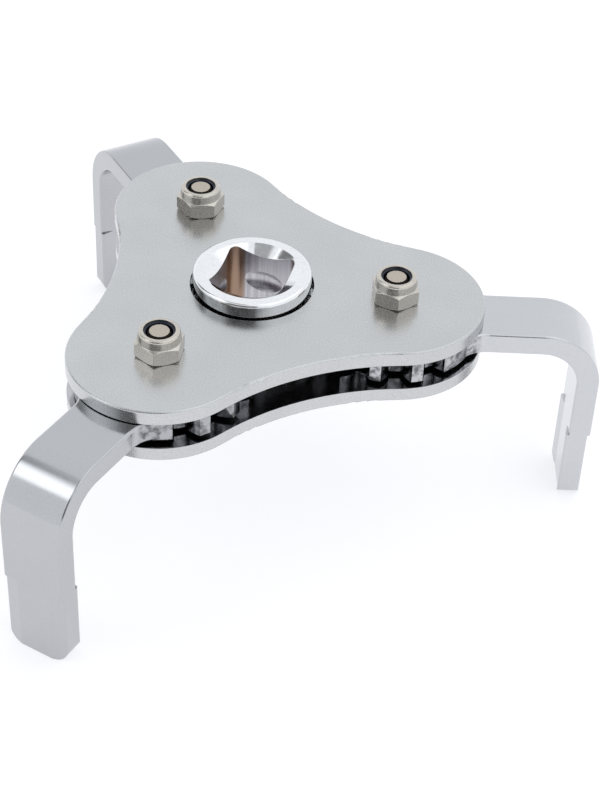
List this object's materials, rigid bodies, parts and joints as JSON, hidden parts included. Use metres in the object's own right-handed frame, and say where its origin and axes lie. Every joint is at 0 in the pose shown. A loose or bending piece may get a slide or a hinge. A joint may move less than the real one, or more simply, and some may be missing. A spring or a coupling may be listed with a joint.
{
  "type": "oil filter wrench",
  "caption": "Jawed, gear-driven oil filter wrench: a square drive turns a gear between two plates and swings hooked jaws in or out to grip a canister filter in either direction.",
  "frame": {"origin": "on the drive axis, at the top of the drive socket's rim", "axes": "+Z along the drive axis, out of the socket's mouth; +X towards the pivot of the right jaw"},
  "size_m": [0.1064, 0.1187, 0.0467],
  "materials": {
    "zinc_plate": "satin zinc plate over blanked sheet steel",
    "zinc_jaw": "bright zinc plate over bent flat bar",
    "polished_chrome": "polished chrome on turned and broached steel",
    "bolt_steel": "plain machined steel",
    "nut_nickel": "bright nickel with a warm tone",
    "nylon": "dark blue nylon"
  },
  "bodies": {
    "frame": {"top_plate": "zinc_plate", "bottom_plate": "zinc_plate", "pivot_bolt_right": "bolt_steel", "pivot_bolt_rear": "bolt_steel", "pivot_bolt_left": "bolt_steel", "pivot_sleeve_right": "bolt_steel", "pivot_sleeve_rear": "bolt_steel", "pivot_sleeve_left": "bolt_steel", "lock_nut_right": "nut_nickel", "lock_nut_rear": "nut_nickel", "lock_nut_left": "nut_nickel", "nylon_insert_right": "nylon", "nylon_insert_rear": "nylon", "nylon_insert_left": "nylon"},
    "drive": {"drive_gear": "polished_chrome"},
    "right_jaw": {"jaw_right": "zinc_jaw"},
    "rear_jaw": {"jaw_rear": "zinc_jaw"},
    "left_jaw": {"jaw_left": "zinc_jaw"}
  },
  "joints": [
    {"name": "drive_turn", "type": "hinge", "parent": "frame", "child": "drive", "pos_m": [0, 0, -0.00835], "axis": [0, 0, 1], "range_deg": [-107.5, 119.5]},
    {"name": "right_jaw_swing", "type": "hinge", "parent": "frame", "child": "right_jaw", "pos_m": [0.0265, 0, -0.008], "axis": [0, 0, 1], "range_deg": [-110.5, 99.5]},
    {"name": "rear_jaw_swing", "type": "hinge", "parent": "frame", "child": "rear_jaw", "pos_m": [-0.01325, 0.02295, -0.008], "axis": [0, 0, 1], "range_deg": [-110.5, 99.5]},
    {"name": "left_jaw_swing", "type": "hinge", "parent": "frame", "child": "left_jaw", "pos_m": [-0.01325, -0.02295, -0.008], "axis": [0, 0, 1], "range_deg": [-110.5, 99.5]}
  ],
  "couplings": [
    {"joint": "right_jaw_swing", "follows": "drive_turn", "ratio": -0.92308},
    {"joint": "rear_jaw_swing", "follows": "drive_turn", "ratio": -0.92308},
    {"joint": "left_jaw_swing", "follows": "drive_turn", "ratio": -0.92308}
  ]
}
